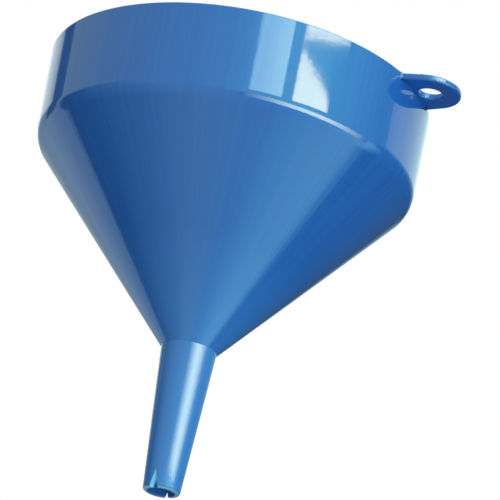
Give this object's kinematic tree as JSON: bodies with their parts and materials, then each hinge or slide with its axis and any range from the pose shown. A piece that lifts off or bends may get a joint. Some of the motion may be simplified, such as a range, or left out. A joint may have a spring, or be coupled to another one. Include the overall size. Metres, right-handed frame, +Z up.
{
  "type": "funnel",
  "caption": "Tall-collared blue plastic filling funnel with a tapered vented spout, a hanging eyelet at the rim and a lift-out gauze strainer.",
  "frame": {"origin": "centre of the throat on the funnel's axis, where the outside of the cone meets the spout and a container's neck takes the weight", "axes": "+Z up along the funnel's axis towards the rim, with the spout along -Z; +X from the axis towards the hanging eyelet"},
  "size_m": [0.223, 0.2, 0.2218],
  "materials": {
    "blue_plastic": "smooth glossy moulded polyethylene, mid blue",
    "white_plastic": "satin moulded plastic, natural white",
    "steel_wire": "woven stainless wire gauze"
  },
  "bodies": {
    "funnel": {"collar": "blue_plastic", "cone": "blue_plastic", "spout": "blue_plastic", "hanging_eyelet": "blue_plastic"},
    "strainer": {"strainer_frame": "white_plastic", "strainer_gauze": "steel_wire", "strainer_clamp_ring": "white_plastic"}
  },
  "joints": [
    {"name": "strainer_lift", "type": "slide", "parent": "funnel", "child": "strainer", "axis": [0, 0, 1], "range_m": [0, 0.135]}
  ]
}
